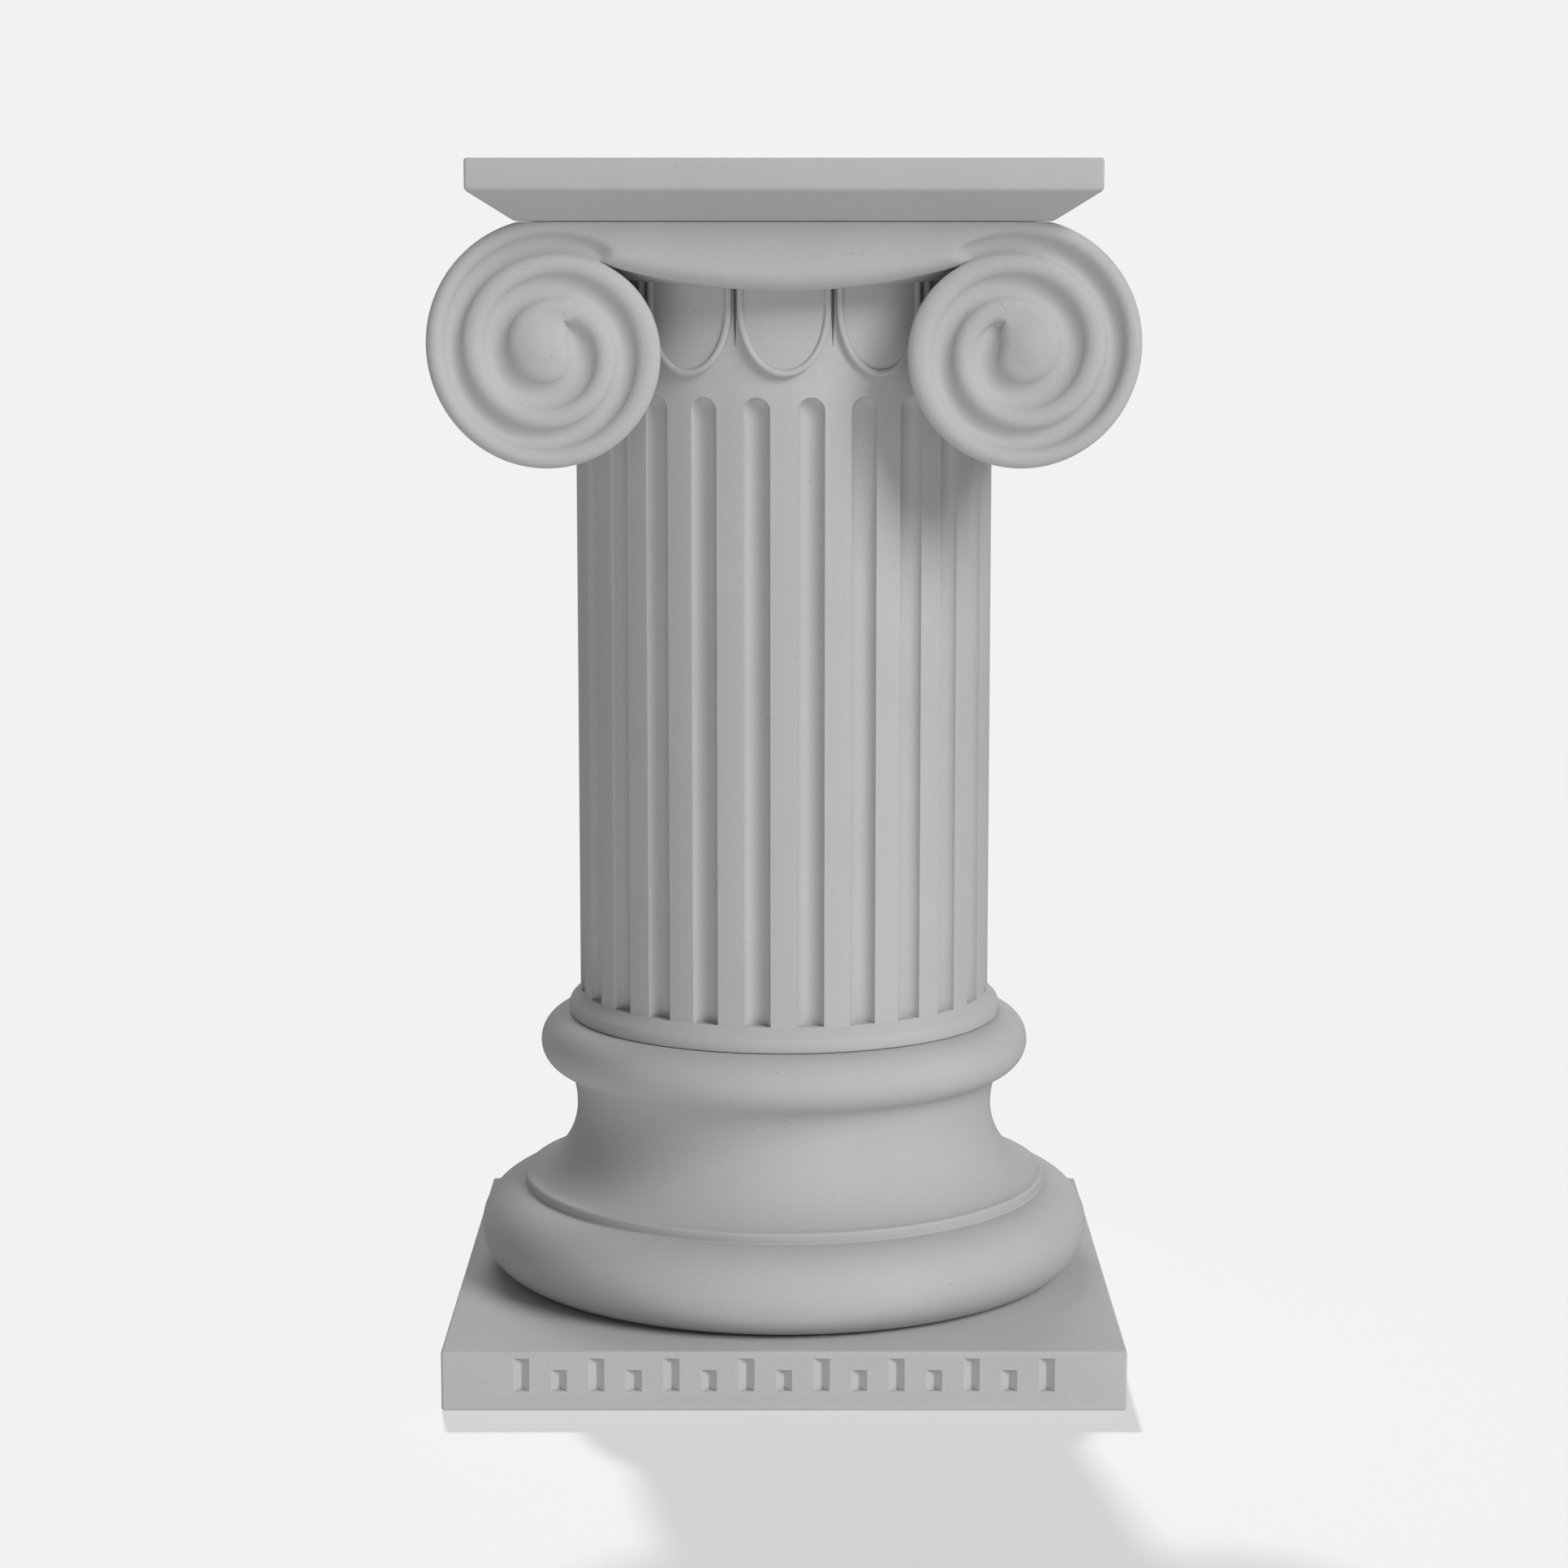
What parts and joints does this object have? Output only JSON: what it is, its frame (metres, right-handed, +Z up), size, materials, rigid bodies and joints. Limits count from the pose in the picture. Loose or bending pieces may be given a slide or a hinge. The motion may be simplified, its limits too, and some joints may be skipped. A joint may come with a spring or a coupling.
{
  "type": "ionic column",
  "caption": "Short fluted ionic column on an attic base and a square plinth, its capital with scrolled volutes, a sagging band and a row of eggs under a square abacus.",
  "frame": {"origin": "middle of the plinth's underside, on the floor", "axes": "+Z up along the column's axis; -Y is the front, the face with the cut strokes on the plinth, and the volutes' faces look along -Y and +Y; +X to the right seen from the front"},
  "size_m": [0.3482, 0.34, 0.6137],
  "materials": {
    "cast_stone": "fine pale grey cast stone, matt, faintly mottled, with a few pinholes and softly worn edges"
  },
  "bodies": {
    "root": {"plinth": "cast_stone", "base": "cast_stone", "shaft": "cast_stone", "capital": "cast_stone", "abacus": "cast_stone"}
  },
  "joints": []
}
